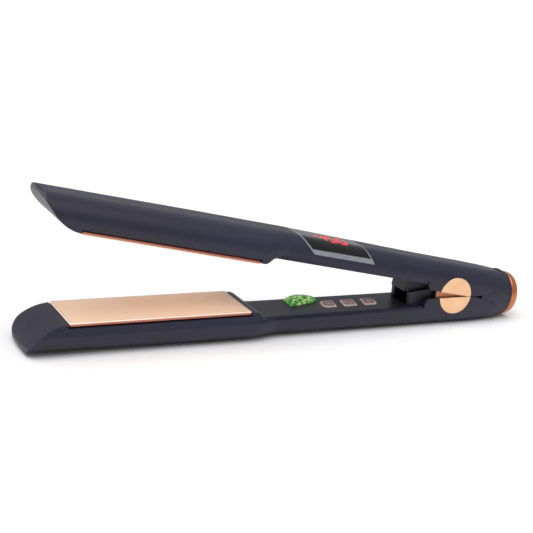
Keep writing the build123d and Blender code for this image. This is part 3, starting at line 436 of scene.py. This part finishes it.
def lens():
    """Rings of the outline shrunk towards the table, every other ring turned by half a step."""
    middle = [-90.0, -6.6, 5.8]
    outline = np.array([(-10.0, 5.6), (-10.4, -4.0), (-6.2, -6.6), (5.0, -4.6), (9.8, -1.0), (4.0, 2.6)])
    steps = 4
    nxt = np.roll(outline, -1, axis=0)
    t = (np.arange(steps) / steps)[None, :, None]
    edge = (outline[:, None] * (1 - t) + nxt[:, None] * t).reshape(-1, 2)
    turned = (edge + np.roll(edge, -1, axis=0)) / 2
    scales = [1.0, 1.0, 0.86, 0.66, 0.42]
    heights = [-1.2, 0.9, 2.3, 3.3, 3.9]
    shift = np.array([(0, 0), (0, 0), (-0.2, 0.0), (-0.5, -0.2), (-0.8, -0.4)])
    rings = []
    for i, (scale, height) in enumerate(zip(scales, heights)):
        shape = (turned if i % 2 else edge) if i > 1 else edge
        rings.append(np.column_stack([shape * scale + shift[i], np.full(len(edge), -height)]))
    points = np.array(rings) + np.array(middle)
    count = len(edge)
    faces = []
    for i in range(len(rings) - 1):
        for j in range(count):
            k = (j + 1) % count
            a, b, c, d = i * count + j, i * count + k, (i + 1) * count + k, (i + 1) * count + j
            faces += [[a, b, d], [b, c, d]] if (i + j) % 2 else [[a, b, c], [a, c, d]]
    faces.append([(len(rings) - 1) * count + j for j in range(count)])
    faces.append(list(range(count))[::-1])
    piece = make_piece("cut_status_lens", place_lower(points), faces, "lower_arm",
                       [cut_polycarbonate()], smooth=False)
    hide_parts("status_lens")


lens()


# ---- keys ---------------------------------------------------------------------------------------------
# Three moulded keys with a metallised rim.  Each has a brown-pink inlay printed with a white sign: minus,
# a ring for power, and plus.
def metallised():
    """Thin coat on moulded ABS, nearly non-metallic: pale pink with a soft gloss, partly its own tone and
    partly its bright reflection painted in.
    """
    material, shader = new_material("metallised_rim_painted_reflection", Metallic=0.1)
    # The near-white pink is partly the coat's own tone and partly its painted reflection.
    tint(material, shader, patches(material, 2.0, 2.0), two_tone("#f3d6c8", "#fbe6da"))
    gloss(material, shader, patches(material, 0.8, 3.0), 0.25, 0.35)
    return material


def inlay_lacquer():
    """Sprayed brown-pink lacquer, a little duller than the rim."""
    material, shader = new_material("inlay_lacquer", IOR=1.5)
    tint(material, shader, patches(material, 1.5, 3.0), two_tone("#a4604f", "#b5735f"))
    gloss(material, shader, patches(material, 0.6, 2.0), 0.3, 0.42)
    return material


def printed_sign():
    """Pad-printed ink, matt and slightly uneven."""
    material, shader = new_material("pad_printed_ink", Roughness=0.5)
    tint(material, shader, patches(material, 0.5, 2.0), two_tone("#dccac4", "#f4e9e4"))
    return material


rim_metal_painted_reflection = metallised()
inlay_paint = inlay_lacquer()
sign_ink = printed_sign()
KEY_TOP = 5.2
PRINT_THICK = 0.05
INLAY_INSET = 1.0


def print_on_key(name, outlines, level, body, material):
    """Thin flat plates of the given plan outlines, standing over a depth level."""
    points, faces = [], []
    for outline in outlines:
        outline = np.asarray(outline, dtype=float)
        count, base = len(outline), len(points)
        low = np.column_stack([outline, np.full(count, level)])
        high = np.column_stack([outline, np.full(count, level - PRINT_THICK)])
        points += low.tolist() + high.tolist()
        j = np.arange(count)
        k = (j + 1) % count
        faces += (np.stack([j, k, k + count, j + count], -1) + base).tolist()
        faces += [(base + count + j).tolist(), (base + j[::-1]).tolist()]
    make_piece(name, place_lower(np.array(points)), faces, body, [material], smooth=False)


def rounded(corners, radii, steps=6):
    """Closed plan outline with a quadratic curve cut across each corner by its radius."""
    corners = np.asarray(corners, dtype=float)
    back = np.roll(corners, 1, axis=0) - corners
    ahead = np.roll(corners, -1, axis=0) - corners
    radii = np.asarray(radii, dtype=float)[:, None]
    start = corners + back / np.linalg.norm(back, axis=1, keepdims=True) * radii
    end = corners + ahead / np.linalg.norm(ahead, axis=1, keepdims=True) * radii
    t = np.linspace(0, 1, steps)[None, :, None]
    ends = (1 - t) ** 2 * start[:, None] + t ** 2 * end[:, None]
    curve = ends + 2 * t * (1 - t) * corners[:, None]
    return curve.reshape(-1, 2)


def key_outline(kind, x, shrink):
    """Leaning rectangle, with one end round on the minus and plus keys."""
    half_x, half_y, lean = 4.4 - shrink, 5.2 - shrink, 1.0
    near = [(-half_x + lean, -half_y), (half_x + lean, -half_y)]
    far = [(half_x - lean, half_y), (-half_x - lean, half_y)]
    round_end, small = 3.0, 0.8
    left = round_end if kind == "minus" else small
    right = round_end if kind == "plus" else small
    return rounded(near + far, [left, right, right, left]) + [x, 0]


def sign_outlines(kind, x):
    """Printed sign: one bar, two bars, or a broken ring with a short bar."""
    bar = np.array([(-1.8, -0.42), (1.8, -0.42), (1.8, 0.42), (-1.8, 0.42)])
    if kind == "minus":
        return [bar + [x, 0]]
    if kind == "plus":
        upright = np.array([(-0.42, 0.42), (0.42, 0.42), (0.42, 1.8), (-0.42, 1.8)])
        return [bar + [x, 0], upright + [x, 0], -upright + [x, 0]]
    sweep = np.linspace(math.radians(125), math.radians(415), 30)
    arc = np.column_stack([np.cos(sweep), np.sin(sweep)])
    ring = np.concatenate([arc * 2.4, arc[::-1] * 1.6])
    stem = np.array([(-0.4, 0.5), (0.4, 0.5), (0.4, 2.7), (-0.4, 2.7)])
    return [ring + [x, 0], stem + [x, 0]]


for kind, x in (("minus", -76.7), ("power", -63.2), ("plus", -49.7)):
    paint(kind + "_button", rim_metal_painted_reflection)
    inlay = [key_outline(kind, x, INLAY_INSET)]
    print_on_key(kind + "_inlay", inlay, KEY_TOP + 0.02, kind + "_key", inlay_paint)
    print_on_key(kind + "_sign", sign_outlines(kind, x), KEY_TOP - 0.02, kind + "_key", sign_ink)


# ---- hinge blocks and cord sleeve ---------------------------------------------------------------------
# Knuckle blocks, washers and the cord's sleeve are moulded in black glass-filled nylon, dull and mottled.
def nylon(name, low, high):
    """Glass-filled moulding: dull, faintly mottled and grainy."""
    material, shader = new_material(name, IOR=1.53)
    tint(material, shader, patches(material, 3.0, 3.0), two_tone(low, high))
    gloss(material, shader, patches(material, 1.0, 3.0), 0.45, 0.6)
    relief(material, shader, patches(material, 0.4, 2.0), 0.01)
    return material


black_nylon = nylon("glass_filled_nylon", "#1c1b2a", "#242233")
for name in ("lower_hinge_bracket", "upper_hinge_bracket", "thrust_washers", "cord_swivel"):
    paint(name, black_nylon)


# ---- hidden pieces ------------------------------------------------------------------------------------
# Heaters, boards, screws and springs are out of sight with the arms whole; each still gets its own stuff.
def stuff(name, low, high, size_mm, rough, metallic=0.0):
    """Plain finish of an inner piece: two close tones and a gloss that wanders a little."""
    material, shader = new_material(name, Metallic=metallic)
    tint(material, shader, patches(material, size_mm, 2.0), two_tone(low, high))
    gloss(material, shader, patches(material, size_mm / 3, 2.0), rough - 0.06, rough + 0.06)
    return material


hidden = [
    (stuff("zinc_plated_steel", "#a9abb0", "#c3c5ca", 1.5, 0.35, 0.95),
     ["lower_cover_screws", "upper_cover_screws", "lower_carrier_screws", "upper_carrier_screws",
      "lower_bracket_screws", "upper_bracket_screws", "hinge_pin", "torsion_spring"]),
    (stuff("polyimide_wrap", "#b97a22", "#d59a3c", 6.0, 0.4), ["lower_heater", "upper_heater"]),
    (stuff("mica", "#bfb292", "#d8ccb0", 3.0, 0.35), ["lower_mica_sheet", "upper_mica_sheet"]),
    (stuff("heat_proof_moulding", "#262629", "#303034", 3.0, 0.6),
     ["lower_plate_carrier", "upper_plate_carrier", "lower_cushion_tray", "upper_cushion_tray"]),
    (stuff("silicone_rubber", "#a8422b", "#bd5238", 2.0, 0.7), ["lower_cushions", "upper_cushions"]),
    (stuff("tinned_copper", "#bdbdbd", "#d2d2d2", 1.0, 0.35, 0.9),
     ["lower_thermal_fuse", "upper_thermal_fuse", "lower_thermistor", "upper_thermistor"]),
    (stuff("glass_epoxy_board", "#17492f", "#22633f", 4.0, 0.4), ["control_board", "display_board"]),
    (stuff("moulded_epoxy", "#141418", "#1f1f25", 1.0, 0.55), ["button_switches", "triac"]),
    (stuff("capacitor_lacquer", "#b8911d", "#d0a730", 2.0, 0.3), ["filter_capacitor"]),
    (stuff("water_clear_led", "#b9e6b0", "#d5f5cc", 0.8, 0.15), ["status_led"]),
    (stuff("led_block_face", "#2c0709", "#3a0c0e", 3.0, 0.4), ["display_module"]),
]
for material, names in hidden:
    for name in names:
        paint(name, material)


# ---- camera, light and floor --------------------------------------------------------------------------
def camera():
    data = bpy.data.cameras.new("camera")
    data.lens = 86.476
    data.sensor_width = 36.0
    data.clip_end = 100
    eye = bpy.data.objects.new("camera", data)
    bpy.context.collection.objects.link(eye)
    eye.location = (-0.42326, -0.61704, 0.23653)
    eye.rotation_euler = [math.radians(a) for a in (73.8323, -4.7346, -24.9299)]
    bpy.context.scene.camera = eye


camera()


def soft_sun(name, aim, spread, strength):
    data = bpy.data.lights.new(name, "SUN")
    data.angle = math.radians(spread)
    data.energy = strength
    lamp = bpy.data.objects.new(name, data)
    bpy.context.collection.objects.link(lamp)
    lamp.rotation_euler = Vector(aim).to_track_quat("-Z", "Y").to_euler()


soft_sun("overhead_softbox", (0.15, 0.25, -1.0), 70, 2.4)

world = bpy.data.worlds.new("studio")
bpy.context.scene.world = world
world.use_nodes = True
world.node_tree.nodes["Background"].inputs["Color"].default_value = linear("#fbfbff")
world.node_tree.nodes["Background"].inputs["Strength"].default_value = 0.5

floor_mesh = bpy.data.meshes.new("floor")
reach = 40.0
corners = [(-reach, -reach, 0), (reach, -reach, 0), (reach, reach, 0), (-reach, reach, 0)]
floor_mesh.from_pydata(corners, [], [(0, 1, 2, 3)])
floor = bpy.data.objects.new("floor", floor_mesh)
bpy.context.collection.objects.link(floor)
floor_paint, shader = new_material("matte_white_card", Roughness=0.9)
shader.inputs["Base Color"].default_value = linear("#f4f4f4")
floor_mesh.materials.append(floor_paint)
bpy.context.scene.view_settings.view_transform = "Standard"
